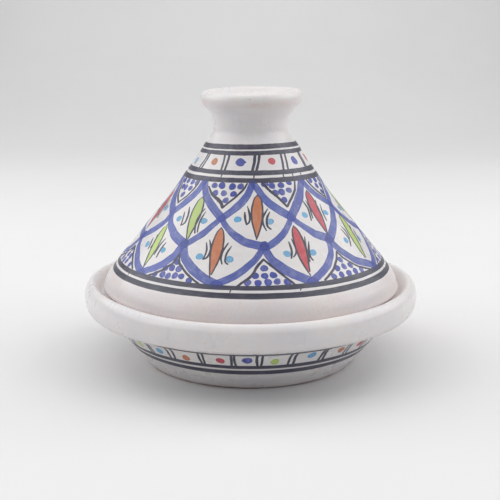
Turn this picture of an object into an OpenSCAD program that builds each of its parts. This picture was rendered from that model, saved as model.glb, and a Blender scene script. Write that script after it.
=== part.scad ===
// Tagine pot: a round earthenware cooking dish with a rolled rim and a gallery
// inside it, and a tall conical lid that stands loose in the gallery. The lid's
// knob is a small cup on a waisted neck, thrown in one piece with the cone.
// The dish stands on +Z = 0, centred on the Z axis.

/* [Dish] */
// Outside diameter of the dish over its rolled rim
rim_d = 254; // [220:1:300]
// Height of the dish from the table to the crest of the rim
dish_h = 62.4; // [55:0.5:75]
// Diameter of the unglazed foot ring at the table
foot_d = 162; // [140:1:175]
// Depth of the turned recess inside the foot ring
foot_recess = 2.2; // [1:0.1:3]
// Thickness of the dish floor over the recess
floor_t = 6; // [5:0.2:9]
// Depth of the lid gallery below the crest of the rim
gallery_depth = 7; // [5:0.2:9]

/* [Lid] */
// Height of the whole pot from the table to the top of the knob
pot_h = 205; // [185:1:235]
// Diameter of the lid at the foot of its skirt
lid_d = 225.4; // [216:0.2:227]
// Wall thickness of the cone, square to its surface
lid_wall = 6.2; // [5:0.2:8]
// Vertical gap between the skirt and the gallery floor
seat_gap = 0.3; // [0.2:0.1:0.6]

/* [Knob] */
// Diameter of the knob over its rolled edge
knob_d = 75.6; // [66:0.4:90]
// Diameter of the neck at its narrowest
neck_d = 55.2; // [46:0.4:62]
// Depth of the shallow cup in the top of the knob
cup_depth = 10; // [6:0.5:12]

/* [Hidden] */
$fn = 180;

// Points on a smooth curve that runs through every point of p, with n steps
// between neighbours.
function at(p, i) = p[min(max(i, 0), len(p) - 1)];
function cr(a, b, c, d, t) =
    0.5 * (2 * b + (c - a) * t + (2 * a - 5 * b + 4 * c - d) * t * t
           + (3 * b - a - 3 * c + d) * t * t * t);
function smooth(p, n = 4) =
    [for (i = [0 : len(p) - 2], k = [0 : n - 1])
        cr(at(p, i - 1), at(p, i), at(p, i + 1), at(p, i + 2), k / n),
     p[len(p) - 1]];
function slid(p, dr, dz) = [for (q = p) [q[0] + dr, q[1] + dz]];

// ---- dish -------------------------------------------------------------
kd = rim_d / 254;
kz = dish_h / 62.4;
gallery_z = dish_h - gallery_depth;
foot_r = foot_d / 2;

// Outside: foot edge, flaring bowl, tight turn under the rim, rolled rim
bowl_out = [[foot_r + 0.6, 1.8], [86.4 * kd, 7.9 * kz], [92.4 * kd, 15.1 * kz],
    [98.8 * kd, 23.2 * kz], [103.6 * kd, 29.6 * kz], [107.4 * kd, 33.4 * kz],
    [113.0 * kd, 36.6 * kz], [119.0 * kd, 38.9 * kz], [122.8 * kd, 40.5 * kz],
    [125.2 * kd, 43.2 * kz], [126.5 * kd, 47.2 * kz], [127.0 * kd, 52.0 * kz],
    [126.9 * kd, 55.6 * kz], [125.9 * kd, 59.0 * kz], [124.0 * kd, 61.4 * kz],
    [121.6 * kd, 62.4 * kz], [119.8 * kd, 61.9 * kz], [118.6 * kd, 60.8 * kz],
    [118.0 * kd, 59.2 * kz]];
// Inside: rounded corner of the gallery, its flat floor, and the cooking hollow
gallery_r = 113.8 * kd;
corner = [[117.3 * kd, gallery_z + 2.3], [116.3 * kd, gallery_z + 1.1],
    [115.1 * kd, gallery_z + 0.35], [gallery_r, gallery_z]];
hollow_z = foot_recess + floor_t;
bowl_in = [[104.4 * kd, gallery_z], [103.7 * kd, gallery_z - 0.6],
    [103.3 * kd, gallery_z - 2.6], [102.1 * kd, gallery_z - 8.4],
    [99.6 * kd, gallery_z - 15.2], [95.6 * kd, gallery_z - 22.2],
    [89.8 * kd, gallery_z - 29.2], [82.2 * kd, gallery_z - 35.8],
    [72.6 * kd, hollow_z + 4.7], [62.0 * kd, hollow_z + 1.5],
    [50.0 * kd, hollow_z + 0.3], [42.0 * kd, hollow_z]];

module dish() {
    color([0.93, 0.91, 0.90])
    rotate_extrude()
    polygon(concat(
        [[0, foot_recess], [foot_r - 9.6, foot_recess], [foot_r - 8.2, 0],
         [foot_r - 0.4, 0]],
        smooth(bowl_out),
        corner,
        smooth(bowl_in, 3),
        [[0, hollow_z]]));
}

// ---- lid --------------------------------------------------------------
kl = lid_d / 225.4;
skirt_z = gallery_z + seat_gap;
kh = (pot_h - 55.7) / (205 - 55.7);   // stretch of everything over the seat
kk = knob_d / 75.6;
kn = neck_d / 55.2;
function lz(z) = skirt_z + (z - 55.7) * kh;
function lift(p) = [for (q = p) [q[0], lz(q[1])]];

// Outside of the skirt and the shoulder under the cone
skirt_out = [[111.7 * kl, 55.7], [112.6 * kl, 56.4], [112.6 * kl, 57.8],
    [112.1 * kl, 59.8], [111.2 * kl, 62.4], [109.8 * kl, 65.8],
    [108.4 * kl, 68.0], [106.8 * kl, 70.2], [104.9 * kl, 72.2]];
// Outside of the cone: a shade hollow between shoulder and neck
cone_out = [[102.9 * kl, 75.0], [99.7 * kl, 79.4], [96.9 * kl, 82.6],
    [90.4 * kl, 90.4], [83.8 * kl, 98.6], [77.4 * kl, 106.6],
    [69.2 * kl, 116.4], [61.4 * kl, 126.0], [56.0 * kl, 133.0],
    [51.8 * kl, 139.4], [47.8 * kl, 145.2], [42.8 * kl, 151.6],
    [38.6 * kn, 157.8], [35.2 * kn, 163.6]];
// Neck, rolled knob edge and the cup in its top
knob_out = [[33.0 * kn, 166.2], [30.2 * kn, 169.2], [28.2 * kn, 172.8],
    [27.6 * kn, 176.6], [28.2 * kn, 180.8], [29.6 * kn, 184.8],
    [31.4 * kn, 188.2], [33.8 * kk, 191.0], [36.0 * kk, 192.8],
    [37.4 * kk, 195.2], [37.8 * kk, 198.2], [37.3 * kk, 201.4],
    [36.0 * kk, 203.8], [34.2 * kk, 205.0]];
cup_in = [[34.2 * kk, 205.0], [32.2 * kk, 204.2], [29.4 * kk, 202.0],
    [24.0 * kk, 205.0 - cup_depth * 0.68], [16.0 * kk, 205.0 - cup_depth * 0.9],
    [8.0 * kk, 205.0 - cup_depth]];
// Inside of the lid, its cone one wall thickness under the outside
in_r = 0.79 * lid_wall;
in_z = 0.62 * lid_wall;
lid_in = concat(
    [[22.0 * kn, 167.4], [27.6 * kn, 161.2]],
    slid([for (i = [10 : -1 : 0]) [cone_out[i][0], cone_out[i][1]]], -in_r, -in_z),
    [[105.8 * kl - lid_wall * 1.1, 66.2], [108.6 * kl - lid_wall * 1.05, 61.8],
     [110.4 * kl - lid_wall, 58.4], [111.1 * kl - lid_wall, 56.4],
     [111.9 * kl - lid_wall, 55.7]]);

module lid() {
    color([0.90, 0.90, 0.93])
    rotate_extrude()
    polygon(concat(
        smooth(lift(concat(skirt_out, cone_out, knob_out)), 3),
        smooth(lift(cup_in), 4),
        [[0, lz(205.0 - cup_depth)], [0, lz(183.0)], [9.0, lz(182.6)],
         [14.0, lz(180.6)], [16.8, lz(177.0)], [18.2, lz(172.6)]],
        smooth(lift(lid_in), 3)));
}

dish();
lid();
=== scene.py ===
import math

import bpy
import numpy as np
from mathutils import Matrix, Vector
from mathutils.geometry import delaunay_2d_cdt


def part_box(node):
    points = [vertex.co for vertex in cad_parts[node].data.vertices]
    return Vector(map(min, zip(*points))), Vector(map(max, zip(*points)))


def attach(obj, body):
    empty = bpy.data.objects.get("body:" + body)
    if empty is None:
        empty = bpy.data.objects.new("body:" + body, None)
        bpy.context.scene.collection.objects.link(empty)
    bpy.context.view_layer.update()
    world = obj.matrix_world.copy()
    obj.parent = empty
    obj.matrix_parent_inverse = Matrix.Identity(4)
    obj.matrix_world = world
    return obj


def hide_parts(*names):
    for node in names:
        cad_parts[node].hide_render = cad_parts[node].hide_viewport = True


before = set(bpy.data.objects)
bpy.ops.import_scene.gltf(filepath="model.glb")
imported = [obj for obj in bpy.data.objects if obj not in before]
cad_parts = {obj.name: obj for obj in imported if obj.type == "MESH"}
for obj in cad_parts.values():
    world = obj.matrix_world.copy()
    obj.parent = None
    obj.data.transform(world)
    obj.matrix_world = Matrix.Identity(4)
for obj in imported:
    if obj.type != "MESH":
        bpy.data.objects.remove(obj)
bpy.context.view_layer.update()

dish_lo, dish_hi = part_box("dish")
lid_lo, lid_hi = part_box("lid")
MM = 0.001
RIM_R = dish_hi.x / MM  # 127: outer radius of the rim
RIM_Z = dish_hi.z / MM  # 62.4: crest of the rim
TOP_Z = lid_hi.z / MM  # 205: crest of the knob, tilt included
SEAT_Z = lid_lo.z / MM  # 55.7: foot of the lid's skirt
SKIRT_R = lid_hi.x / MM  # 112.7
KD = RIM_R / 127.0
KL = SKIRT_R / 112.7
COLS = 240
SPIN = 2 * math.pi / COLS


# ---------------------------------------------------------------- small tools
def ramp(a, b, x):
    t = np.clip((np.asarray(x, float) - a) / (b - a), 0, 1)
    return t * t * (3 - 2 * t)


def spline(p, n):
    """Catmull-Rom curve through every point of p, n steps between neighbours."""
    p = np.asarray(p, float)
    if len(p) == 2:
        t = np.linspace(0, 1, n + 1)[:, None]
        return p[0] * (1 - t) + p[1] * t
    out = []
    for i in range(len(p) - 1):
        a, b, c, d = p[max(i - 1, 0)], p[i], p[i + 1], p[min(i + 2, len(p) - 1)]
        for k in range(n):
            t = k / n
            out.append(0.5 * (2 * b + (c - a) * t + (2 * a - 5 * b + 4 * c - d) * t * t
                              + (3 * b - a - 3 * c + d) * t ** 3))
    out.append(p[-1])
    return np.array(out)


def waver(x, seed, waves=(9.0, 4.1, 2.3), amps=(0.5, 0.3, 0.2)):
    """A smooth uneven line: a few waves (mm long) with phases set by the seed."""
    r = np.random.default_rng(seed)
    y = np.zeros_like(np.asarray(x, float))
    for w, a in zip(waves, amps):
        y = y + a * np.sin(2 * math.pi * np.asarray(x) / (w * r.uniform(0.85, 1.2)) + r.uniform(0, 6.283))
    return y


def inside(P, loop):
    """Which points lie inside a closed loop (non-zero winding)."""
    res = np.zeros(len(P), bool)
    lo, hi = loop.min(0), loop.max(0)
    near = np.nonzero(((P >= lo) & (P <= hi)).all(1))[0]
    x0, y0 = loop[:, 0], loop[:, 1]
    x1, y1 = np.roll(x0, -1), np.roll(y0, -1)
    for k in range(0, len(near), 20000):
        idx = near[k:k + 20000]
        x, y = P[idx, 0][:, None], P[idx, 1][:, None]
        cr = (x1 - x0) * (y - y0) - (x - x0) * (y1 - y0)
        w = ((y0 <= y) & (y1 > y) & (cr > 0)).sum(1) - ((y0 > y) & (y1 <= y) & (cr < 0)).sum(1)
        res[idx] = w != 0
    return res


# ------------------------------------------------------------------- profiles
class Skin:
    """One run of a thrown wall: a profile turned round the axis, with s in mm
    along it. finger gives the height of the throwing rings along it."""

    def __init__(self, prof, n=16, soften=0.9, finger=None, pitch=6.5, warp=None):
        d = spline(prof, n)
        seg = np.r_[0, np.cumsum(np.hypot(*np.diff(d, axis=0).T))]
        s = np.arange(0, seg[-1], 0.2)
        s = np.r_[s, seg[-1]] if seg[-1] - s[-1] > 0.05 else np.r_[s[:-1], seg[-1]]
        R, z = np.interp(s, seg, d[:, 0]), np.interp(s, seg, d[:, 1])
        if soften:
            k = np.exp(-0.5 * (np.arange(-25, 26) * 0.2 / soften) ** 2)
            k /= k.sum()
            def blur(v):
                e = np.r_[2 * v[0] - v[25:0:-1], v, 2 * v[-1] - v[-2:-27:-1]]
                return np.convolve(e, k, "valid")
            R, z = blur(R), blur(z)
        self.s, self.R, self.z = s, np.maximum(R, 0), z
        dR, dz = np.gradient(self.R, s), np.gradient(self.z, s)
        m = np.hypot(dR, dz)
        self.nR, self.nz = dz / m, -dR / m
        self.len = s[-1]
        self.finger = finger or (lambda s, R, z: 0 * s)
        self.pitch = pitch
        self.warp = warp
        self.L = np.r_[0, np.cumsum(np.diff(s) / np.maximum(0.5 * (self.R[1:] + self.R[:-1]), 0.5))]

    def rz(self, s):
        return np.interp(s, self.s, self.R), np.interp(s, self.s, self.z)

    def point(self, th, s):
        R, z = self.rz(s)
        nR, nz = np.interp(s, self.s, self.nR), np.interp(s, self.s, self.nz)
        f = self.finger(s, R, z)
        d = f * (np.sin(2 * math.pi * s / self.pitch - th + 0.7 * np.sin(2 * th + 1))
                 + 0.5 * np.sin(2 * math.pi * s / (self.pitch * 2.3) + 1.3 + 0.8 * np.sin(th)))
        R, z = R + nR * d, z + nz * d
        return self.warp(R * np.sin(th), -R * np.cos(th), z, th, R)

    def normal(self, th, s):
        h, g = 0.25, 0.004
        a = self.point(th, np.minimum(s + h, self.len)) - self.point(th, np.maximum(s - h, 0))
        b = self.point(th + g, s) - self.point(th - g, s)
        n = np.cross(b, a)
        m = np.linalg.norm(n, axis=-1, keepdims=True)
        flat = m[..., 0] < 1e-9
        n = n / np.maximum(m, 1e-12)
        if flat.any():
            n[flat] = (0, 0, 1) if np.interp(s[flat][0], self.s, self.nz) > 0 else (0, 0, -1)
        return n

    def s_at(self, z, top=None):
        """s where the wall first passes a height, for a run that climbs."""
        k = len(self.z) if top is None else np.searchsorted(self.s, top)
        zz = np.maximum.accumulate(self.z[:k])
        return np.interp(z, zz, self.s[:k])


def lid_warp(x, y, z, th, R):
    """The lid isn't turned true: it is a little out of round, its knob sits a
    little off centre, and the knob's edge leans to the front and the left."""
    k = 1 + 0.0009 * np.cos(2 * (th - 0.6)) + 0.0007 * np.cos(3 * (th + 0.4)) - 0.0016
    w = ramp(180, 197, z)
    sx = 0.45 + 0.3 * ramp(118, 188, z) - 0.95 * ramp(164, 171, z) * (1 - ramp(181, 189, z))
    zz = z + w * (0.063 * y + 0.021 * x) + ramp(62, 90, z) * (0.10 * np.sin(2 * th + 0.5) - 0.42 * (1 - w))
    return np.stack([x * k + sx, y * k, zz], -1)


def dish_warp(x, y, z, th, R):
    """The dish is a little out of round, and its rim rises and falls a little."""
    k = 1 + 0.0005 * np.cos(2 * (th + 0.3)) + 0.0004 * np.cos(3 * th + 1.0) - 0.0031
    up = ramp(8, 50, z)
    zz = z - up * (0.28 + 0.16 * np.cos(2 * th + 2.2) + 0.08 * np.cos(3 * th + 0.4))
    # the lip was pressed a little lower at the front
    zz = zz - 0.27 * np.maximum(zz - 52.4, 0) * ramp(0.55, 1.0, np.cos(th))
    zz = zz - 0.115 * np.maximum(zz - 52.4, 0) * ramp(0.5, 0.9, th) * ramp(1.6, 1.15, th)
    return np.stack([x * k + 0.25 * ramp(2, 30, z), y * k, np.maximum(zz, 0)], -1)


zs = lambda p: [[a * KL, SEAT_Z + (b - 55.7)] for a, b in p]

skirt = [[110.2, 55.7], [111.5, 55.9], [112.4, 56.7], [112.6, 57.9], [112.1, 59.8], [111.2, 62.4],
         [109.8, 65.8], [108.4, 68.0], [106.8, 70.2], [104.9, 72.2]]
cone = [[102.9, 75.0], [99.7, 79.4], [96.9, 82.6], [90.4, 90.4], [83.8, 98.6], [77.4, 106.6],
        [69.2, 116.4], [61.4, 126.0], [56.0, 133.0], [51.8, 139.4], [47.8, 145.2], [42.8, 151.6],
        [38.6, 157.8], [35.2, 163.6]]
crest = TOP_Z - 2.3
neck = [[33.1, 166.2], [30.7, 169.1], [28.9, 172.4], [28.2, 176.0], [28.7, 180.6], [29.9, 184.7],
        [31.5, 188.0], [33.8, 190.7], [36.0, 192.6], [37.2, 194.4], [37.8, 197.4], [37.6, 199.9],
        [36.4, 201.9], [34.2, crest], [32.2, crest - 0.7], [29.4, crest - 2.8], [24.0, crest - 6.4],
        [16.0, crest - 8.8], [8.0, crest - 9.8], [0, crest - 10.0]]
under = [[0, 183.0], [9.0, 182.6], [14.0, 180.6], [16.8, 177.0], [18.2, 172.6], [22.0, 167.4],
         [27.6, 161.2]]
under += [[cone[i][0] - 4.9, cone[i][1] - 3.84] for i in range(10, -1, -1)]
under += [[98.98, 66.2], [102.1, 61.8], [104.1, 58.6], [104.9, 56.9], [105.8, 55.9], [107.4, 55.7],
          [110.2, 55.7]]

bowl = [[79.2, 0.0], [80.6, 0.5], [81.5, 1.4], [82.5, 2.7], [86.4, 7.9], [92.4, 15.1], [98.8, 23.2], [103.6, 29.6],
        [107.4, 33.4], [113.0, 36.6], [119.0, 38.9], [122.8, 40.5], [125.2, 43.2], [126.5, 47.2],
        [127.0, 51.4], [126.8, 54.6], [125.8, 58.0], [124.1, 60.8], [121.8, 62.3], [119.8, 61.9],
        [118.4, 60.7], [117.3, 59.3], [116.4, 57.9], [115.5, 56.8], [114.6, 56.0], [113.5, 55.5],
        [109.0, 55.4], [105.0, 55.3], [104.0, 54.7], [103.3, 52.8], [102.1, 47.0], [99.6, 40.2],
        [95.6, 33.2], [89.8, 26.2], [82.2, 19.6], [72.6, 12.9], [62, 9.7], [50, 8.5], [42, 8.2],
        [20, 8.2], [0, 8.2]]
foot = [[0, 2.2], [40, 2.2], [70.4, 2.2], [71.8, 1.7], [72.6, 0.5], [73.4, 0.0], [76.6, 0.0], [79.2, 0.0]]
kz = RIM_Z / 62.4
bowl = [[a * KD, b * kz] for a, b in bowl]
foot = [[a * KD, b] for a, b in foot]

lid_out = Skin(zs(skirt + cone + neck), soften=0.8, warp=lid_warp, pitch=7.5,
               finger=lambda s, R, z: 0.045 + 0.03 * ramp(165, 175, z))
lid_in = Skin(zs(under), soften=0.7, warp=lid_warp, pitch=9.0,
              finger=lambda s, R, z: 0.28 * ramp(20, 60, s) * ramp(60, 72, z))
dish_out = Skin(bowl, soften=0.6, warp=dish_warp, pitch=7.0,
                finger=lambda s, R, z: 0.05 * ramp(4, 12, z) + 0.22 * ramp(102, 94, R) * ramp(140, 150, s) * ramp(8, 20, R))
dish_in = Skin(foot, soften=0.25, warp=dish_warp, pitch=11.0,
               finger=lambda s, R, z: 0.16 * ramp(66, 50, R) * ramp(3, 12, R))


# ------------------------------------------------------------------- painting
def lin(r, g, b, gain=1.0):
    c = np.array([r, g, b], float) / 255
    c = np.where(c <= 0.04045, c / 12.92, ((c + 0.055) / 1.055) ** 2.4)
    return np.clip(c * gain, 0, 1)


INK = lin(66, 66, 82)
BLUE = lin(88, 101, 169)
DEEP = lin(70, 82, 160)
COLOR = {
    "ink": INK, "blue": BLUE, "knot": lin(62, 74, 148), "spot": lin(70, 82, 162), "sky": lin(100, 168, 208),
    "lime": lin(188, 206, 118), "orange": lin(198, 124, 86), "red": lin(197, 80, 92),
}
ORDER = {"sky": 1, "spot": 2, "blue": 3, "knot": 3.5, "lime": 4, "orange": 4, "red": 4, "ink": 5}
#          wash: how far the colour thins out, streak: how strongly the bristles show
WASH = {"ink": 0.05, "blue": 0.13, "knot": 0.08, "spot": 0.16, "sky": 0.2, "lime": 0.08, "orange": 0.08, "red": 0.08}
STREAK = {"ink": 0.3, "blue": 0.32, "knot": 0.3, "spot": 0.4, "sky": 0.35, "lime": 0.25, "orange": 0.25, "red": 0.3}


class Band:
    """A painted band on a climbing run of a skin. It is drawn in a flat map that
    keeps angles: the run seen along the axis, with the radius rescaled."""

    def __init__(self, skin, z0, z1, grow, top=None):
        self.skin, self.grow = skin, grow
        self.s0, self.s1 = [float(skin.s_at(z, top)) for z in (z0, z1)]
        self.top = top
        self.L0 = np.interp(self.s0, skin.s, skin.L)
        self.rho0 = float(skin.rz(self.s0)[0])
        self.shapes = []
        self.seed = 11

    def rho(self, s):
        L = np.interp(s, self.skin.s, self.skin.L) - self.L0
        return self.rho0 * np.exp(self.grow * L)

    def flat(self, deg, z):
        s = self.skin.s_at(np.asarray(z, float), self.top)
        return self.flat_s(np.radians(np.asarray(deg, float)), s)

    def flat_s(self, th, s):
        r = self.rho(s)
        return np.stack([r * np.sin(th), -r * np.cos(th)], -1)

    def back(self, P):
        r = np.hypot(P[:, 0], P[:, 1])
        L = self.grow * np.log(np.maximum(r, 1e-6) / self.rho0) + self.L0
        return np.arctan2(P[:, 0], -P[:, 1]), np.interp(L, self.skin.L, self.skin.s)

    def scale(self, P):
        """Map units for 1 mm on the wall, at map points."""
        th, s = self.back(P)
        return self.rho(s) / self.skin.rz(s)[0]

    def nxt(self):
        self.seed += 1
        return self.seed

    def add(self, kind, loops, **more):
        self.shapes.append(dict(kind=kind, loops=loops, seed=self.nxt(), **more))

    def line(self, pts, per=5, step=1.1):
        """Smooth, evenly spaced centre line in the map through (deg, z) points."""
        p = self.flat(*np.asarray(pts, float).T)
        c = spline(p, 12)
        k = self.scale(c)
        d = np.hypot(*np.diff(c, axis=0).T) / (0.5 * (k[1:] + k[:-1]))
        u = np.r_[0, np.cumsum(d)]
        n = max(int(u[-1] / step), 3)
        t = np.linspace(0, u[-1], n + 1)
        return np.stack([np.interp(t, u, c[:, 0]), np.interp(t, u, c[:, 1])], -1), t

    def stroke(self, kind, pts, half, ends=(1.0, 1.0), rough=0.10, cap=(True, True), step=1.1):
        """A brush stroke. half is its half width in mm, a number or one value at
        each control point; ends scales it at its two ends."""
        c, u = self.line(pts, step=step)
        sd = self.nxt()
        if np.ndim(half):
            half = np.interp(np.linspace(0, 1, len(c)), np.linspace(0, 1, len(half)), half)
        w = np.ones(len(c)) * half
        t = u / u[-1]
        w = w * (ends[0] + (1 - ends[0]) * ramp(0, 0.28, t)) * (ends[1] + (1 - ends[1]) * ramp(0, 0.28, 1 - t))
        tg = np.gradient(c, axis=0)
        tg /= np.linalg.norm(tg, axis=1, keepdims=True)
        nm = np.stack([-tg[:, 1], tg[:, 0]], -1)
        k = self.scale(c)[:, None]
        wl = (w + rough * waver(u, sd))[:, None] * k
        wr = (w + rough * waver(u, sd + 5000))[:, None] * k
        left, right = c + nm * wl, c - nm * wr
        loop = [left]
        if cap[1]:
            loop.append(np.array([c[-1] + (tg[-1] * math.sin(a) + nm[-1] * math.cos(a)) * w[-1] * k[-1]
                                  for a in (0.7, 1.57, 2.4)]))
        loop.append(right[::-1])
        if cap[0]:
            loop.append(np.array([c[0] + (-tg[0] * math.sin(a) - nm[0] * math.cos(a)) * w[0] * k[0]
                                  for a in (0.7, 1.57, 2.4)]))
        self.add(kind, [np.concatenate(loop)], line=c, u=u, hw=w * k[:, 0])

    def ring(self, z0, z1, kind="ink", rough=0.16, tilt=(0, 0)):
        """A full ring from z0 up to z1; tilt moves it up by (sine, cosine) mm."""
        th = np.arange(0, 2 * math.pi, math.radians(1.5))
        sd = self.nxt()
        def edge(z, k):
            r = np.random.default_rng(sd + k)
            y = sum(a * np.sin(n * th + r.uniform(0, 6.283)) for n, a in ((2, .5), (5, .45), (11, .3), (23, .2), (41, .14)))
            return self.flat(np.degrees(th), z + rough * y + tilt[0] * np.sin(th) + tilt[1] * np.cos(th))
        loops = [edge(z0, 2), edge(z1, 1)[::-1]]
        self.add(kind, loops if self.grow < 0 else loops[::-1], ring=(z0, z1, tilt))

    def dot(self, kind, deg, z, r, squash=(1.0, 1.0), rough=0.09, lean=0.0, n=14):
        c = self.flat(np.array([deg]), np.array([z]))[0]
        k = self.scale(c[None])[0]
        rd = -c / np.linalg.norm(c) * (1 if self.grow < 0 else -1)  # up the wall
        tn = np.array([rd[1], -rd[0]])
        sd = self.nxt()
        q = np.random.default_rng(sd)
        a = np.arange(n) * 2 * math.pi / n
        rr = r * (1 + rough * np.sin(2 * a + q.uniform(0, 6)) + 0.7 * rough * np.sin(3 * a + q.uniform(0, 6))
                  + 0.4 * rough * np.sin(5 * a + q.uniform(0, 6)))
        X, Y = rr * squash[0] * np.cos(a), rr * squash[1] * np.sin(a)
        X, Y = X * math.cos(lean) - Y * math.sin(lean), X * math.sin(lean) + Y * math.cos(lean)
        self.add(kind, [c + (X[:, None] * tn + Y[:, None] * rd) * k], centre=c, r=r * k)

    def leaf(self, kind, top, bottom, half, bend=0.0, fat=0.42):
        """A pointed leaf with a dark outline, from its top to its long foot."""
        (a0, z0), (a1, z1) = top, bottom
        t = np.linspace(0, 1, 15)
        mid = np.array([[a0 + (a1 - a0) * x + bend * math.sin(math.pi * x), z0 + (z1 - z0) * x] for x in t])
        c = self.flat(mid[:, 0], mid[:, 1])
        tg = np.gradient(c, axis=0)
        tg /= np.linalg.norm(tg, axis=1, keepdims=True)
        nm = np.stack([-tg[:, 1], tg[:, 0]], -1)
        k = self.scale(c)
        p = math.log(0.5) / math.log(fat)
        w = half * np.sin(math.pi * t ** p) ** np.where(t < fat, 0.66, 0.95)
        sd = self.nxt()
        q = np.random.default_rng(sd)
        wl = w * (1 + 0.06 * np.sin(5 * t + q.uniform(0, 6)))
        wr = w * (1 + 0.06 * np.sin(5 * t + q.uniform(0, 6)))
        left, right = c + nm * (wl * k)[:, None], c - nm * (wr * k)[:, None]
        u = np.r_[0, np.cumsum(np.hypot(*np.diff(c, axis=0).T) / k[1:])]
        self.add(kind, [np.concatenate([left[1:-1], right[-2:0:-1], c[:1]])], line=c, u=u, hw=np.maximum(w, 0.3) * k)
        for side, wv, sg in ((0, wl, 1), (1, wr, -1)):
            e = c + sg * nm * ((wv - 0.1) * k)[:, None]
            th, s = self.back(e)
            deg, z = np.degrees(th), self.skin.rz(s)[1]
            lo = q.integers(0, 2) if side else 0
            self.stroke("ink", np.stack([deg, z], -1)[lo:15 - q.integers(0, 2)], q.uniform(0.58, 0.72),
                        ends=(0.6, 0.8), rough=0.09, step=1.6)

    # -- the flat map as a mesh
    def mesh(self):
        rim = np.arange(COLS) * SPIN
        edge = [self.flat_s(rim, np.full(COLS, s)) for s in (self.s0, self.s1)]
        outer, inner = (edge[0], edge[1]) if self.grow < 0 else (edge[1], edge[0])
        pts, lines = [], []
        def put(loop):
            n = len(pts)
            pts.extend(map(tuple, loop))
            lines.extend((n + i, n + (i + 1) % len(loop)) for i in range(len(loop)))
        put(edge[0])
        put(edge[1])
        for sh in self.shapes:
            for lp in sh["loops"]:
                put(lp)
            if "centre" in sh:
                pts.append(tuple(sh["centre"]))
        # an even grid between the outlines, which carries the wall's curve
        fixed = np.array(pts)
        th, s = self.back(fixed)
        Lf = np.interp(s, self.skin.s, self.skin.L)
        L0, L1 = [np.interp(v, self.skin.s, self.skin.L) for v in (self.s0, self.s1)]
        cell = SPIN * 0.42
        taken = set()
        nb = int(round(2 * math.pi / cell))
        for i, j in zip((np.mod(th, 2 * math.pi) / (2 * math.pi) * nb).astype(int), ((Lf - L0) / cell).astype(int)):
            for di in (-1, 0, 1):
                for dj in (-1, 0, 1):
                    taken.add(((i + di) % nb, j + dj))
        rows = int(round((L1 - L0) / SPIN))
        for r in range(1, rows):
            L = L0 + (L1 - L0) * r / rows
            a = (np.arange(COLS) + 0.5 * (r % 2)) * SPIN
            keep = [((int(x / (2 * math.pi) * nb)) % nb, int((L - L0) / cell)) not in taken for x in a]
            g = self.flat_s(a[keep], np.full(sum(keep), np.interp(L, self.skin.L, self.skin.s)))
            pts.extend(map(tuple, g))
        v, e, f, *_ = delaunay_2d_cdt([Vector(p) for p in pts], lines, [], 0, 1e-3, False)
        V = np.array([tuple(p) for p in v], float)
        F = np.array([t for t in f if len(t) == 3], int)
        C = V[F].mean(1)
        keep = inside(C, outer) & ~inside(C, inner)
        area = np.cross(V[F[:, 1]] - V[F[:, 0]], V[F[:, 2]] - V[F[:, 0]])
        F = F[keep]
        area = area[keep]
        F = np.where((area < 0)[:, None], F[:, ::-1], F)
        C = V[F].mean(1)
        # edge vertices, column by column, so that the lathe can share them
        share = [np.full(COLS, -1), np.full(COLS, -1)]
        th, s = self.back(V)
        for k, sv in enumerate((self.s0, self.s1)):
            want = self.flat_s(rim, np.full(COLS, sv))
            near = np.nonzero(np.abs(s - sv) < 0.05)[0]
            d = np.linalg.norm(want[:, None] - V[near][None], axis=2)
            share[k] = near[d.argmin(1)]
            assert d.min(1).max() < 2e-3
        # paint: the top coat of each triangle, and what lies under it
        n = len(F)
        top = np.full(n, -1)
        best = np.zeros(n)
        blues = np.zeros(n, int)
        for i, sh in enumerate(self.shapes):
            hit = inside(C, sh["loops"][0])
            for lp in sh["loops"][1:]:
                hit &= ~inside(C, lp)
            o = ORDER[sh["kind"]]
            if sh["kind"] == "blue":
                blues[hit] += 1
            win = hit & (o >= best)
            best[win] = o
            top[win] = i
        col = np.zeros((n, 3, 4))
        col[..., 3] = 1
        uv = np.zeros((n, 3, 3))
        fx = np.zeros((n, 3, 3))
        for i, sh in enumerate(self.shapes):
            t = np.nonzero(top == i)[0]
            if not len(t):
                continue
            q = np.random.default_rng(sh["seed"] * 7 + 1)
            kind = sh["kind"]
            c = COLOR[kind] * (1 + q.uniform(-0.05, 0.05)) * (1 + q.uniform(-0.035, 0.035, 3))
            cc = np.tile(c, (len(t), 1))
            if kind == "blue":
                two = blues[t] >= 2
                cc[two] = DEEP
            if kind == "ink":
                over = blues[t] >= 1
                cc[over] = INK * 0.78 + DEEP * 0.22
            if ORDER[kind] == 4:
                over = blues[t] >= 1
                cc[over] = cc[over] * 0.72 + DEEP * 0.2
            col[t, :, :3] = np.clip(cc, 0, 1)[:, None]
            Q = V[F[t]].reshape(-1, 2)
            if "line" in sh:
                a, b = sh["line"][:-1], sh["line"][1:]
                ab = b - a
                tt = np.clip(((Q[:, None] - a) * ab).sum(2) / (ab ** 2).sum(1), 0, 1)
                pr = a + ab * tt[..., None]
                dd = np.linalg.norm(Q[:, None] - pr, axis=2)
                j = dd.argmin(1)
                r = np.arange(len(Q))
                side = np.sign(ab[j, 0] * (Q[:, 1] - a[j, 1]) - ab[j, 1] * (Q[:, 0] - a[j, 0]))
                tj = tt[r, j]
                u = sh["u"][j] * (1 - tj) + sh["u"][j + 1] * tj
                hw = sh["hw"][j] * (1 - tj) + sh["hw"][j + 1] * tj
                v2 = side * dd[r, j] / np.maximum(hw, 1e-3)
            elif "ring" in sh:
                z0, z1, tilt = sh["ring"]
                th, s = self.back(Q)
                R, z = self.skin.rz(s)
                z = z - tilt[0] * np.sin(th) - tilt[1] * np.cos(th)
                u, v2 = th * 60, (z - 0.5 * (z0 + z1)) / (0.5 * (z1 - z0))
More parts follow.
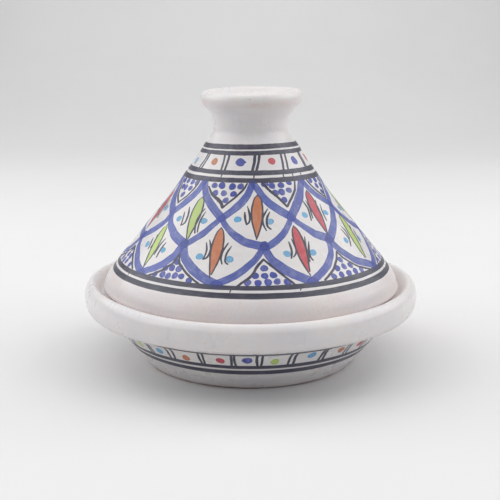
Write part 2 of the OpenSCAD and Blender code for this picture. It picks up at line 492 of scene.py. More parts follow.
                # one side of the seam in u, at the back
                u3 = u.reshape(-1, 3)
                wrap = (u3.max(1) - u3.min(1)) > 180
                u3[wrap] = np.where(u3[wrap] < 0, u3[wrap] + 120 * math.pi, u3[wrap])
                u = u3.reshape(-1)
            else:
                d = Q - sh["centre"]
                u, v2 = d[:, 0] * 0.8, np.linalg.norm(d, axis=1) / sh["r"]
            uv[t, :, 0] = u.reshape(-1, 3)
            uv[t, :, 1] = np.clip(v2, -1.3, 1.3).reshape(-1, 3)
            uv[t, :, 2] = (sh["seed"] * 0.37) % 17
            fx[t, :, 0] = 1
            fx[t, :, 1] = WASH[kind] * (1 - 0.6 * (blues[t, None] >= 2))
            fx[t, :, 2] = STREAK[kind]
        if self.grow > 0:
            F, col, uv, fx = F[:, ::-1], col[:, ::-1], uv[:, ::-1], fx[:, ::-1]
        th, s = self.back(V)
        used = np.unique(F)
        return dict(th=th, s=s, F=F, col=col, uv=uv, fx=fx, share=share, used=used)


# ---- the lid's pattern, nine fields round; angles in degrees from the front
def lid_paint():
    b = Band(lid_out, 69.2, 168.4, -1, top=float(lid_out.s_at(175.0)))
    T = [-79.5, -39.7, 1.2, 44.8, 84.0, 124.0, 163.0, 202.0, 241.0]
    N1 = [(-56.1, 118.5), (-17.5, 118.5), (24.4, 118.5), (64.4, 122.5), (104, 119), (143.5, 118.5),
          (183, 119.5), (222.5, 118.5), (261, 118.8)]
    N2 = [(-72.5, 98.5), (-34.5, 100.5), (6.2, 101.5), (42.5, 102.0), (82, 101.5), (122, 101), (163, 102),
          (203, 101), (245, 100.5)]
    B = [(-51.1, 80.2), (-13.4, 80.5), (24.4, 80.5), (64.4, 80.5), (104, 80.5), (143, 80.2), (183, 80.6),
         (223, 80.4), (268, 80.4)]
    q = np.random.default_rng(5)
    n = 9
    def at(lst, k):
        w = k // n
        v = lst[k % n]
        return (v + 360 * w, 140.5) if np.isscalar(v) else (v[0] + 360 * w, v[1])
    def arc(p, e, fr, head, tail, jit=0.5):
        """Points from node p to node e by the fractions fr, with ends run on."""
        out = [head] + [(p[0] + (e[0] - p[0]) * a + q.normal(0, jit * 0.35), p[1] + (e[1] - p[1]) * c + q.normal(0, jit * 0.35))
                        for a, c in fr] + [tail]
        return out
    F1 = [(0.10, 0.10), (0.41, 0.50), (0.73, 0.79)]
    F2 = [(0.10, 0.26), (0.31, 0.56), (0.58, 0.82), (0.89, 0.97)]
    F2r = [(0.13, 0.18), (0.225, 0.29), (0.50, 0.59), (0.85, 0.91)]
    F3 = [(0.08, 0.08), (0.235, 0.31), (0.51, 0.645), (0.79, 0.88)]
    # each stroke's bow off its smooth course and its half width, at 1/4, 1/2 and 3/4
    way = {
        "TR": [((-0.4, -0.9, -0.8), (3.0, 3.3, 3.3)), ((-1.0, 0.1, 0.1), (2.6, 2.95, 3.0)), ((-0.1, 0.0, 0.2), (2.5, 3.1, 3.3)),
               ((-0.8, -0.4, 0.2), (2.7, 3.0, 3.3))],
        "TL": [((0.3, -0.6, -0.3), (2.9, 3.0, 2.9)), ((0.9, 0.1, 0.3), (2.8, 3.4, 3.25)), ((1.4, 1.0, 0.6), (2.5, 3.0, 2.7)),
               ((-0.6, -1.3, -0.5), (2.9, 3.45, 3.2))],
        "NR": [((0.6, 2.6, 2.2), (2.5, 3.1, 3.5)), ((0.7, 0.8, 0.4), (2.1, 2.9, 3.2)), ((2.2, 2.7, 2.6), (2.3, 2.95, 3.6)),
               ((0.4, 1.4, 2.2), (2.8, 3.0, 3.4))],
        "NL": [((3.3, 2.6, 1.2), (2.9, 3.4, 3.1)), ((-0.6, -0.1, -0.2), (2.25, 2.75, 2.55)), ((0.5, 1.1, 1.2), (2.1, 2.4, 2.6)),
               ((-0.6, -0.6, -1.0), (2.9, 3.0, 3.3))],
        "BR": [((-0.7, 0.6, 0.2), (2.5, 2.85, 2.8)), ((-1.9, -1.6, -1.0), (3.1, 3.5, 3.3)), ((-2.6, -1.5, 0.0), (2.9, 3.7, 3.5)),
               ((-2.2, -2.0, -0.9), (3.1, 3.5, 3.5))],
        "BL": [((1.4, 1.8, 0.2), (2.9, 3.0, 2.7)), ((2.7, 1.9, 0.8), (3.2, 3.3, 3.0)), ((1.1, 0.3, 0.4), (2.25, 2.55, 2.8)),
               ((1.5, 1.6, 0.2), (2.3, 2.8, 2.65))],
    }
    usual = {"TR": (2.6, 3.05, 3.15), "TL": (2.7, 3.0, 2.8), "NR": (2.3, 2.9, 3.3), "NL": (2.3, 2.7, 2.7),
             "BR": (2.9, 3.4, 3.3), "BL": (2.5, 2.8, 2.75)}
    arcs = {}
    def swing(key, k, pts):
        """Lay one blue stroke and keep its course."""
        if k < 4:
            bow, hw = way[key][k]
        else:
            bow, hw = q.normal(0, 0.5, 3), np.array(usual[key]) + q.uniform(-0.15, 0.2)
        c, u = b.line(pts, step=3.0)
        tg = np.gradient(c, axis=0)
        tg /= np.linalg.norm(tg, axis=1, keepdims=True)
        off = np.interp(u / u[-1], (0, 0.12, 0.25, 0.5, 0.75, 1), (0, 0.6 * bow[0], *bow, 0.5 * bow[2]))
        c = c + np.stack([-tg[:, 1], tg[:, 0]], -1) * (off * b.scale(c))[:, None]
        th, s = b.back(c)
        deg = np.degrees(np.unwrap(th))
        deg += 360 * round((pts[1][0] - deg[1]) / 360)
        arcs[key, k] = list(zip(deg, b.skin.rz(s)[1]))
        b.stroke("blue", arcs[key, k], [hw[0], hw[0], hw[1], hw[2], hw[2]], ends=(0.96, 0.98), rough=0.10, step=1.5)
    for k in range(n):
        t, a, e, f = at(T, k), at(N1, k), at(N1, k - 1), at(N2, k)
        # first row of scallops: down both ways from a top node
        for key, end in (("TR", a), ("TL", e)):
            sg = 1 if end[0] > t[0] else -1
            swing(key, k, arc(t, end, F1, (t[0] + sg * 0.2, 141.2), (end[0] + sg * 0.4, end[1] - 0.4)))
        # second row: down both ways from a first-row node to second-row nodes
        g = at(N2, k + 1)
        for key, end, fr in (("NR", g, F2), ("NL", f, F2r)):
            sg = 1 if end[0] > a[0] else -1
            swing(key, k, arc(a, end, fr, (a[0] - sg * 0.2, a[1] + 0.4), (end[0] + sg * 0.8, end[1] - 0.3)))
        # third row: from a second-row node to the feet
        for key, end in (("BR", at(B, k)), ("BL", at(B, k - 1))):
            sg = 1 if end[0] > f[0] else -1
            swing(key, k, arc(f, end, F3, (f[0] - sg * 0.3, f[1] + 0.6), (end[0] + sg * 1.0, 79.7)))
        # where the brush was set down twice: a dark knot
        b.dot("knot", f[0] + 0.3, f[1] + 0.2, 3.0, squash=(1.05, 0.8), rough=0.14)
        b.dot("knot", f[0] + q.uniform(0.2, 1.2), f[1] + 2.4, 1.9, squash=(1.1, 0.9), rough=0.14)

    def off(key, k, d, z_lo, z_hi):
        """(deg, z) points d mm to one side of a blue stroke."""
        c, u = b.line(arcs[key, k], step=2.0)
        tg = np.gradient(c, axis=0)
        tg /= np.linalg.norm(tg, axis=1, keepdims=True)
        nm = np.stack([-tg[:, 1], tg[:, 0]], -1)
        e = c + nm * (d * b.scale(c))[:, None]
        th, s = b.back(e)
        z = b.skin.rz(s)[1]
        m = (z > z_lo) & (z < z_hi)
        deg = np.degrees(th)[m]
        ref = arcs[key, k][len(arcs[key, k]) // 2][0]
        deg = (deg - ref + 180) % 360 - 180 + ref
        return list(zip(deg, z[m]))

    vees = {1: ([(-33.8, 137.4), (-31.4, 134.6), (-27.8, 132.0), (-23.4, 129.8), (-20.2, 127.6), (-18.5, 125)],
                [(-2.9, 140.3), (-5.3, 137), (-9, 133.3), (-13.2, 129.7), (-17.8, 125.4)]),
            2: ([(8.5, 141), (10.5, 139.1), (14.1, 135.4), (19, 131.3), (23.8, 125.2)],
                [(37.2, 140.3), (34.4, 135), (30.5, 131.3), (24.3, 125.4)])}
    tri_apex = {0: (-57.0, 124.5), 1: (-18.6, 125.3), 2: (23.5, 125.0), 3: (64.4, 127.0)}
    tri_dots = {
        1: [(-29.3, 138.5), (-22.9, 138.7), (-14.3, 138.3), (-7.9, 138.5), (-26.8, 133.6), (-20, 133.8), (-12.7, 133.6),
            (-17.5, 129.4)],
        2: [(10.5, 140), (16.2, 138.8), (23.7, 138.8), (31.3, 140.2), (18, 134.1), (23.0, 134.4), (29.3, 135.2),
            (23.3, 129.3)],
        0: [(-67.9, 139), (-61.1, 139.2), (-53.8, 139), (-47.9, 139), (-64.7, 134.8), (-59.7, 134.6), (-52.9, 134.8),
            (-58.1, 130.0)],
        3: [(56.2, 140), (64.4, 139.5), (73, 138.8), (61.5, 135.5), (69.3, 134.8), (64.8, 131.0)],
    }
    foot_apex = {1: (-34.3, 94.8), 2: (5.5, 94.4), 3: (43.2, 94.5)}
    feet = {2: ([(5.5, 94.3), (2.4, 90), (0.2, 85), (-5.1, 79.2)], [(5.5, 94.3), (9.1, 90), (12.9, 85), (17.0, 79.3)])}
    foot_dots = {
        2: [(5.5, 89.2), (1.8, 85.0), (5.5, 84.9), (9.0, 85.2), (-1.3, 81.2), (2.7, 80.9), (6.6, 81.2), (10.2, 81.5),
            (14.2, 80.8)],
        1: [(-33.8, 90.2), (-38.4, 85.6), (-35.0, 86.3), (-31.5, 86.3), (-42.2, 80.9), (-38.2, 81.6), (-35.2, 81.4),
            (-32.0, 82.2), (-28.9, 82.3), (-24.9, 80.4)],
        3: [(42.8, 89.6), (38.7, 85.2), (42.8, 85.4), (46.9, 85.2), (35.0, 81.1), (39.2, 81.2), (43.5, 81.0),
            (47.8, 81.3), (52.0, 81.0)],
    }
    for k in range(n):
        # dotted triangle hanging from the top ring, between two top nodes
        a = at(N1, k)
        ap = tri_apex.get(k, (a[0] + q.uniform(-0.6, 0.4), a[1] + 6.4))
        L = [p for p in off("TR", k, 4.7, ap[1] + 3.2, 141.4) if p[0] < ap[0] - 2.0]
        Rr = [p for p in off("TL", (k + 1) % n, -4.9, ap[1] + 3.2, 141.4)]
        sh = 360 if (k + 1) >= n else 0
        Rr = [(p[0] + sh, p[1]) for p in Rr if p[0] + sh > ap[0] + 2.0]
        L, Rr = vees.get(k, (L + [ap], Rr + [ap]))
        b.stroke("ink", L, [0.8, 0.95, 1.35, 1.2] if k == 1 else 0.92 + q.uniform(-.08, .16), ends=(0.8, 0.95), rough=0.14, step=1.6)
        b.stroke("ink", Rr, 0.86 + q.uniform(-.08, .14), ends=(0.8, 0.95), rough=0.12, step=1.6)
        d = tri_dots.get(k)
        if d is None:
            w = 9.0
            d = [(a[0] + x * w + q.normal(0, .5), 138.7 + q.normal(0, .35)) for x in (-1.25, -0.45, 0.4, 1.2)]
            d += [(a[0] + x * w + q.normal(0, .5), 134.2 + q.normal(0, .35)) for x in (-0.75, 0.02, 0.75)]
            d += [(a[0] + q.normal(0, .5), 129.9 + q.normal(0, .3))]
        for x, z in d:
            b.dot("spot", x, z, 2.45 + q.uniform(-0.15, 0.2), squash=(1.04, 1.0), rough=0.06)
        # dotted triangle standing on the lower ring, under a second-row node
        f = at(N2, k)
        ap = foot_apex.get(k, (f[0] + q.uniform(-0.6, 0.6), f[1] - 7.2))
        L = [p for p in off("BL", k, 5.0, 79.3, ap[1] - 3.0) if p[0] < ap[0] - 1.2]
        Rr = [p for p in off("BR", k, -5.0, 79.3, ap[1] - 3.0) if p[0] > ap[0] + 1.2]
        L, Rr = feet.get(k, ([ap] + L, [ap] + Rr))
        b.stroke("ink", L, 0.95 + q.uniform(-.08, .14), ends=(0.95, 0.85), rough=0.12, step=1.6)
        b.stroke("ink", Rr, 0.90 + q.uniform(-.08, .16), ends=(0.95, 0.85), rough=0.13, step=1.6)
        d = foot_dots.get(k)
        if d is None:
            d = [(f[0] + q.normal(0, .4), 89.6)]
            d += [(f[0] + x + q.normal(0, .35), 85.4 + q.normal(0, .25)) for x in (-4.3, 0.0, 4.3)]
            d += [(f[0] + x + q.normal(0, .35), 81.3 + q.normal(0, .25)) for x in (-8.8, -4.4, 0.1, 4.5, 8.9)]
        for x, z in d:
            b.dot("spot", x, z, 2.5 + q.uniform(-0.15, 0.2), squash=(1.04, 1.0), rough=0.06)

    # leaves, with two dark ticks and a light dot at each side
    row1 = {0: ("red", (-80.0, 131.0), (-75.0, 103), 4.8), 1: ("lime", (-36.0, 130.6), (-33.6, 102.6), 4.05),
            2: ("orange", (4.6, 133.2), (2.8, 106.2), 4.0), 3: ("red", (45.6, 134), (43.3, 105.2), 3.9)}
    row2 = {0: ("lime", (-53.6, 110.4), (-51.4, 82.6), 3.6), 1: ("orange", (-16.2, 112.8), (-16.6, 83.0), 3.9),
            2: ("red", (24.0, 113.2), (24.5, 83.6), 3.85), 3: ("lime", (66.0, 115), (61.0, 84.2), 4.1)}
    c1, c2 = ["red", "lime", "orange"], ["lime", "orange", "red"]
    ticks = {
        ("1", 2): [[(-3.8, 122.3), (-3.4, 118.8), (-2.5, 115)], [(-2.2, 126), (-0.7, 120.4), (-0.9, 116.6), (-2.5, 115)],
                   [(10.5, 124.3), (7.1, 119.2), (6.9, 115), (8.2, 111.3)], [(11.6, 122.3), (9.2, 118.2), (9.1, 114), (10.7, 112)]],
        ("1", 1): [[(-45, 119.8), (-43.3, 115.6), (-42.2, 111.5)], [(-43.1, 123.3), (-40.8, 118.3), (-40.2, 114), (-41.5, 112)],
                   [(-30.4, 123.3), (-32.4, 118.2), (-32.3, 113), (-30.6, 108.3)], [(-29, 121.8), (-30.2, 117.2), (-30.2, 113), (-29.3, 109)]],
        ("1", 3): [[(37.3, 128), (38.6, 123.2), (38, 119), (36.9, 115.3)], [(40.0, 127.6), (40.2, 122.5), (38.8, 116.5)],
                   [(49.4, 127), (47.2, 122), (46.6, 114.6)], [(51.4, 123.8), (49.5, 119), (48.6, 113.6)]],
        ("2", 1): [[(-22.2, 103.3), (-21.0, 98.4), (-21.5, 93.5)], [(-20.9, 105), (-19.1, 99.4), (-19.9, 94.8), (-21.6, 93.5)],
                   [(-11.1, 103.8), (-13.1, 98.7), (-13.4, 94.7), (-12.5, 91.5)], [(-9.3, 102), (-11.2, 97.2), (-11.3, 93), (-10, 91.5)]],
        ("2", 2): [[(18.8, 103.8), (19.2, 99), (18.2, 94.3)], [(20.6, 105.5), (21.5, 100.2), (21, 97), (19.4, 95)],
                   [(28.2, 106), (27.0, 100), (26.5, 91.5)], [(29.6, 103), (27.9, 98), (27.5, 94), (28.2, 92)]],
        ("2", 0): [[(-58.4, 100.5), (-57.2, 96.6), (-56.6, 93.5)], [(-56.5, 103), (-55.0, 98.6), (-55.4, 94.6)],
                   [(-48, 102), (-49.3, 97), (-49.4, 91.5)], [(-46, 100), (-47.1, 95.4), (-47, 90.5)]],
        ("2", 3): [[(56.2, 106.5), (57.8, 101.8), (57.4, 98.5), (55.5, 95.5)], [(58.2, 108.5), (59.6, 104.0), (58.8, 99.8)],
                   [(68.8, 106.5), (66.4, 102), (65.6, 96.5)], [(70.6, 104), (68.4, 99.6), (67.6, 95.0)]],
    }
    dots = {("1", 1): [(-46.5, 115.3), (-27.9, 116)], ("1", 2): [(-7.7, 118), (10.9, 116.6)], ("1", 3): [(34.1, 119), (52.1, 118.3)],
            ("1", 0): [(-86, 118.6), (-68, 119)], ("2", 0): [(-59.9, 95.8), (-45.3, 95.3)], ("2", 1): [(-23.6, 94.8), (-9.4, 94.3)],
            ("2", 2): [(16.6, 97), (29.6, 96.3)], ("2", 3): [(54.4, 99.5), (69.0, 97.5)]}
    for k in range(n):
        for row, table, cyc, base in (("1", row1, c1, T), ("2", row2, c2, N1)):
            if k in table:
                kind, top, bot, hw = table[k]
            else:
                x = at(base, k)[0]
                x += 0.6 if row == "1" else 0
                kind = cyc[k % 3]
                z0, z1 = (133.0, 105.5) if row == "1" else (112.6, 83.6)
                top, bot = (x + q.uniform(-0.5, 1.2), z0 + q.uniform(-1, 1)), (x + q.uniform(-1.2, 0.6), z1 + q.uniform(-1, 1))
                hw = q.uniform(3.7, 4.2)
            mx, mz = 0.5 * (top[0] + bot[0]), (120.0 if row == "1" else 98.0)
            tk = ticks.get((row, k))
            if tk is None:
                g = 1.0 if row == "1" else 0.82
                dz = q.uniform(-1.2, 1.0)
                tk = [[(mx + x * g + q.normal(0, .25), mz + z + dz + q.normal(0, .35)) for x, z in pts] for pts in (
                    [(-7.0, 2.8), (-6.2, -1.4), (-5.7, -5.0)], [(-5.4, 6.2), (-4.1, 0.8), (-4.2, -3.0), (-5.7, -4.8)],
                    [(6.8, 4.6), (4.2, -0.4), (4.0, -4.4), (5.0, -8.2)], [(8.2, 2.6), (6.0, -1.6), (6.0, -5.6), (7.2, -7.6)])]
            for j, pts in enumerate(tk):
                b.stroke("ink", pts, 0.74 + q.uniform(-.08, .1), ends=(0.45, 0.8) if j % 2 else (0.6, 0.75), rough=0.07, step=1.2)
            dd = dots.get((row, k))
            if dd is None:
                g = 1.0 if row == "1" else 0.80
                dd = [(mx - 9.8 * g + q.normal(0, .5), mz - 3 + q.normal(0, .6)), (mx + 9.0 * g + q.normal(0, .5), mz - 3.2 + q.normal(0, .6))]
            for x, z in dd:
                b.dot("sky", x, z, 2.45 + q.uniform(-.1, .15), squash=(1.08, 0.98), rough=0.05)
            b.leaf(kind, top, bot, hw, bend=q.uniform(-0.25, 0.25))

    # rings
    b.ring(162.6, 165.9, tilt=(0.35, 0.1))
    b.ring(158.7, 161.6, tilt=(0.25, 0))
    b.ring(145.7, 148.8)
    b.ring(140.7, 144.0)
    b.ring(76.5, 79.5)
    b.ring(71.6, 75.0)
    # ticks that run over the white gaps
    for d, z0, z1 in ((-25.6, 144.3, 146.2), (2.6, 144.0, 146.2), (28.6, 143.4, 146.2), (38.2, 143.6, 145.6), (48, 143.8, 145.4),
                      (101, 144, 146), (166, 143.8, 146), (232, 144, 146), (281, 144, 146),
                      (-58.4, 75.4, 77), (-7.5, 75.4, 77), (19, 75.6, 77), (120, 75.4, 77), (201, 75.5, 77)):
        b.stroke("ink", [(d, z1), (d - 0.3, z0)], 0.5, ends=(1, .7), rough=0.06)
    # squares: pairs of lines (top deg, foot deg) and one dot each
    pairs = [((-54.4, -56.9), (-51.2, -53.0)), ((-29.4, -28.1), (-24.0, -24.6)), ((4.2, 1.1), (8.9, 4.6)),
             ((33.9, 30.8), (39.2, 35.8)), ((64.0, 61.6), (67.2, 64.4))]
    for i, c in enumerate((99.7, 133.7, 167.8, 201.9, 236.0, 270.0)):
        h, l = q.uniform(1.5, 2.6), q.uniform(-3.0, 1.5)
        pairs.append(((c - h, c - h + l), (c + h, c + h + l + q.uniform(-1, 1))))
    for i, pr in enumerate(pairs):
        for j, (t0, t1) in enumerate(pr):
            w = (1.1 if (i, j) in ((2, 0), (4, 0)) else 0.86) + q.uniform(-.06, .1)
            b.stroke("ink", [(t0, 159.0), (0.5 * (t0 + t1) + 0.3, 153.6), (t1, 148.4)], w, ends=(1, .9), rough=0.12)
    for d, z, kind, r, sq in ((-73, 152.4, "sky", 2.2, (0.9, 1.25)), (-39.4, 153.7, "orange", 2.35, (0.95, 1.15)),
                              (-10.8, 154.0, "spot", 2.75, (1.0, 1.1)), (21.1, 154.5, "red", 2.25, (0.98, 1.15)),
                              (49.2, 153.9, "spot", 2.6, (1.02, 1.15)), (80.5, 154.2, "red", 2.6, (1.0, 1.2)),
                              (116, 153.8, "sky", 2.4, (0.95, 1.15)), (150, 154, "orange", 2.4, (0.95, 1.15)),
                              (185, 153.6, "spot", 2.7, (1, 1.1)), (219, 154.2, "red", 2.4, (0.95, 1.15)),
                              (253, 153.8, "lime", 2.4, (1, 1.1))):
        b.dot(kind, d, z, r * 1.13, squash=(sq[0] + 0.08, sq[1]), rough=0.06, lean=-0.2)
    b.dot("spot", -8.0, 154.4, 1.6, squash=(1.3, 0.9), rough=0.08, lean=-0.2)
    return b


# ---- the dish's band under the rim: small squares with a dot each
def dish_paint():
    b = Band(dish_out, 9.6, 37.6, 1, top=float(dish_out.s_at(50.0)))
    q = np.random.default_rng(8)
    b.ring(33.4, 35.6, rough=0.2)
    b.ring(20.3, 23.6, rough=0.14)
    b.ring(14.7, 18.6, rough=0.16)
    cells = [(-44.0, -42.5), (-33.3, -31.0), (-19.3, -17.7), (-7.0, -5.7), (2.5, 4.3), (15.2, 17.2), (28.2, 29.6), (40.7, 42.2)]
    step = (360 - 43.2 - 41.4) / 23
    for i in range(1, 23):
        c = 41.4 + step * i + q.normal(0, 0.5)
        h = q.uniform(0.7, 1.1)
        cells.append((c - h, c + h))
    for i, (a, c) in enumerate(cells):
        for x in (a, c):
            b.stroke("ink", [(x, 34.6), (x + q.uniform(-.5, .3), 29.5), (x + q.uniform(-.8, .3), 23.4)],
                     (1.15 if i == 6 else 0.92) + q.uniform(-.08, .12), ends=(.9, .9), rough=0.12, step=1.6)
    seq = ["lime", "sky", "orange", "red", "spot"]
    spots = [(-38, 28.0, 1), (-25.7, 26.6, 2), (-11.5, 27.7, 3), (-1.3, 28.8, 4), (9.2, 27.0, 0), (23.6, 30.0, 1), (37.3, 29.2, 2),
             (48.6, 29.2, 3)]
    for i in range(1, 23):
        spots.append((41.4 + step * (i + 0.5) + q.normal(0, 0.7), 28.6 + q.normal(0, 0.7), (3 + i) % 5))
    for x, z, c in spots:
        r, sq = (3.6, (1.08, 0.95)) if c == 4 else (3.05 + q.uniform(-.15, .2), (1.02, 1.08))
        b.dot(seq[c], x, z, r, squash=sq, rough=0.06, lean=q.uniform(-.3, .3))
    return b


# ------------------------------------------------------- shells from the skins
def stops(skin, s0, s1, step):
    """Rows along a skin: close together where the profile turns sharply."""
    m = (skin.s >= s0) & (skin.s <= s1)
    s = skin.s[m]
    a = np.unwrap(np.arctan2(skin.nz, skin.nR))[m]
    turn = np.abs(np.gradient(a, s))
    R = skin.R[m]
    dens = 1 / step + turn / math.radians(9)
    c = np.r_[0, np.cumsum(0.5 * (dens[1:] + dens[:-1]) * np.diff(s))]
    n = max(int(math.ceil(c[-1])), 1)
    out = np.interp(np.linspace(0, c[-1], n + 1), c, s)
    out[0], out[-1] = s0, s1
    return out


class Shell:
    def __init__(self):
        self.co, self.no, self.skin_z = [], [], []
        self.F, self.col, self.uv, self.fx = [], [], [], []
        self.n = 0

    def verts(self, skin, th, s):
        th, s = np.asarray(th, float), np.asarray(s, float)
        self.co.append(skin.point(th, s))
        self.no.append(skin.normal(th, s))
        i = np.arange(self.n, self.n + len(th))
        self.n += len(th)
        return i

    def row(self, skin, s):
        return self.verts(skin, np.arange(COLS) * SPIN, np.full(COLS, s))

    def faces(self, F, col=None, uv=None, fx=None):
        F = [tuple(int(i) for i in f) for f in F]
        self.F += F
        k = sum(len(f) for f in F)
        self.col.append(np.tile([0, 0, 0, 1.0], (k, 1)) if col is None else col.reshape(-1, 4))
        self.uv.append(np.zeros((k, 3)) if uv is None else uv.reshape(-1, 3))
        self.fx.append(np.zeros((k, 3)) if fx is None else fx.reshape(-1, 3))

    def join(self, a, b):
        j = np.arange(COLS)
        k = (j + 1) % COLS
        self.faces(np.stack([a[j], a[k], b[k], b[j]], -1))

    def run(self, skin, s0, s1, step, first=None, last=None, tip0=False, tip1=False):
        """Rows of quads from s0 to s1; first and last are rows made elsewhere."""
        s = stops(skin, s0, s1, step)
        prev = first
        j = np.arange(COLS)
        if prev is None:
            if tip0:
                tip = self.verts(skin, [0.0], [s0])[0]
                prev = self.row(skin, s[1])
                self.faces([(tip, prev[(c + 1) % COLS], prev[c]) for c in j])
                s = s[1:]
            else:
                prev = self.row(skin, s0)
        start = prev
        for v in s[1:-1]:
            cur = self.row(skin, v)
            self.join(prev, cur)
            prev = cur
        if tip1:
            tip = self.verts(skin, [0.0], [s1])[0]
            self.faces([(prev[c], prev[(c + 1) % COLS], tip) for c in j])
            return start, None
        cur = last if last is not None else self.row(skin, s1)
        self.join(prev, cur)
        return start, cur

    def band(self, b):
        m = b.mesh()
        ids = np.full(len(m["th"]), -1)
        ids[m["used"]] = self.verts(b.skin, m["th"][m["used"]], m["s"][m["used"]])
        self.faces(ids[m["F"]], m["col"], m["uv"], m["fx"])
        return ids[m["share"][0]], ids[m["share"][1]]

    def build(self, name):
        co = np.concatenate(self.co) * MM
        no = np.concatenate(self.no)
        me = bpy.data.meshes.new(name)
        me.from_pydata(co.tolist(), [], self.F)
        assert len(me.polygons) == len(self.F)
        for nm, typ, arr, w in (("paint_col", "FLOAT_COLOR", self.col, 4), ("paint_uv", "FLOAT_VECTOR", self.uv, 3),
                                ("paint_fx", "FLOAT_VECTOR", self.fx, 3)):
            at = me.attributes.new(nm, typ, "CORNER")
            v = np.concatenate(arr).astype(np.float32).ravel()
            at.data.foreach_set("color" if w == 4 else "vector", v)
        me.polygons.foreach_set("use_smooth", np.ones(len(me.polygons), bool))
        me.update()
        me.normals_split_custom_set_from_vertices(no.tolist())
        ob = bpy.data.objects.new(name, me)
        bpy.context.scene.collection.objects.link(ob)
        return ob, co

    def weights(self, ob, name, values):
        at = ob.data.attributes.new(name, "FLOAT", "POINT")
        at.data.foreach_set("value", np.asarray(values, np.float32))


def spot_mask(co, n_waves, seed, size):
    """Soft random blotches over points in metres, 0 to 1."""
    r = np.random.default_rng(seed)
    v = np.zeros(len(co))
    for _ in range(n_waves):
        k = r.normal(0, 1, 3)
        k *= 2 * math.pi / (size * r.uniform(0.6, 1.7) * np.linalg.norm(k))
        v += np.sin(co @ k + r.uniform(0, 6.283))
    return 0.5 + 0.5 * np.tanh(v / math.sqrt(n_waves) * 1.3)


def make_lid():
    sh = Shell()
    b = lid_paint()
    lo, hi = sh.band(b)
    base, _ = sh.run(lid_out, 0.0, b.s0, 2.4, last=lo)
    sh.run(lid_out, b.s1, lid_out.len, 2.2, first=hi, tip1=True)
    sh.run(lid_in, 0.0, lid_in.len, 4.0, tip0=True, last=base)
    ob, co = sh.build("lid_glazed")
    r = np.hypot(co[:, 0], co[:, 1]) / MM
    z = co[:, 2] / MM
    th = np.arctan2(co[:, 0], -co[:, 1])
    m1, m2 = spot_mask(co, 24, 3, 0.05), spot_mask(co, 30, 4, 0.018)
    outer = r > 26
    # the clay shows pink where glaze ran thin: knob edge, shoulder, foot of the skirt; the knob band also paints shade
    # on the lower side of the knob's roll, and the lower skirt band also paints shade that deepens towards the dish's
    # rim
    edge = np.exp(-((z - (195.6 + 0.063 * co[:, 1] / MM)) / 2.2) ** 2) * (r > 31) * 0.8
    lip = np.exp(-((z - SEAT_Z - 0.6) / 1.6) ** 2) * 0.4
    crest_ = np.exp(-((z - 70.0) / 3.0) ** 2) * (r > 100) * 0.4
    # painted shade: the lower skirt turns pinker and darker towards the dish's rim
    skirt_ = ramp(74, 64, z) * (r > 102) * 0.55
    sh.weights(ob, "clay_and_shade", np.clip(edge * (0.5 + 0.7 * m2) + lip * (0.4 + 0.8 * m2) + crest_ * (0.3 + m2)
                                   + skirt_ * (0.5 + 0.5 * m1), 0, 1) * outer)
    sh.weights(ob, "bare", ramp(0.5, 0.0, z - SEAT_Z) * 0.95)
    return ob


def make_dish():
    sh = Shell()
    b = dish_paint()
    lo, hi = sh.band(b)
    base, _ = sh.run(dish_out, 0.0, b.s0, 2.4, last=lo)
    sh.run(dish_out, b.s1, dish_out.len, 3.6, first=hi, tip1=True)
    sh.run(dish_in, 0.0, dish_in.len, 5.0, tip0=True, last=base)
    ob, co = sh.build("dish_glazed")
    r = np.hypot(co[:, 0], co[:, 1]) / MM
    z = co[:, 2] / MM
    m1, m2 = spot_mask(co, 24, 13, 0.05), spot_mask(co, 30, 14, 0.016)
    lip = (r > 105) * ramp(119.0, 117.4, r) * ramp(53, 54, z) * (0.2 + 0.25 * ramp(60, 56, z))
    lip = lip + np.exp(-((r - 104.0) / 1.1) ** 2) * ramp(52.5, 54.0, z) * 0.6
    # painted shade: a blotchy pink darkening in the crease under the rim's overhang
    under_ = np.exp(-((z - 41.0) / 1.6) ** 2) * (r > 120) * 0.45
    foot_ = np.exp(-((z - 1.4) / 1.0) ** 2) * (r > 78) * 0.8
    sh.weights(ob, "clay_and_shade", np.clip(lip * (0.4 + 0.8 * m2) + under_ * m2 + foot_ * (0.35 + 0.9 * m2), 0, 1))
    flat_foot = (r > 72) * (r < 82.5) * ramp(1.3, 0.5, z - 0.9 * (m2 - 0.5))
    sh.weights(ob, "bare", np.clip(flat_foot, 0, 1))
    return ob


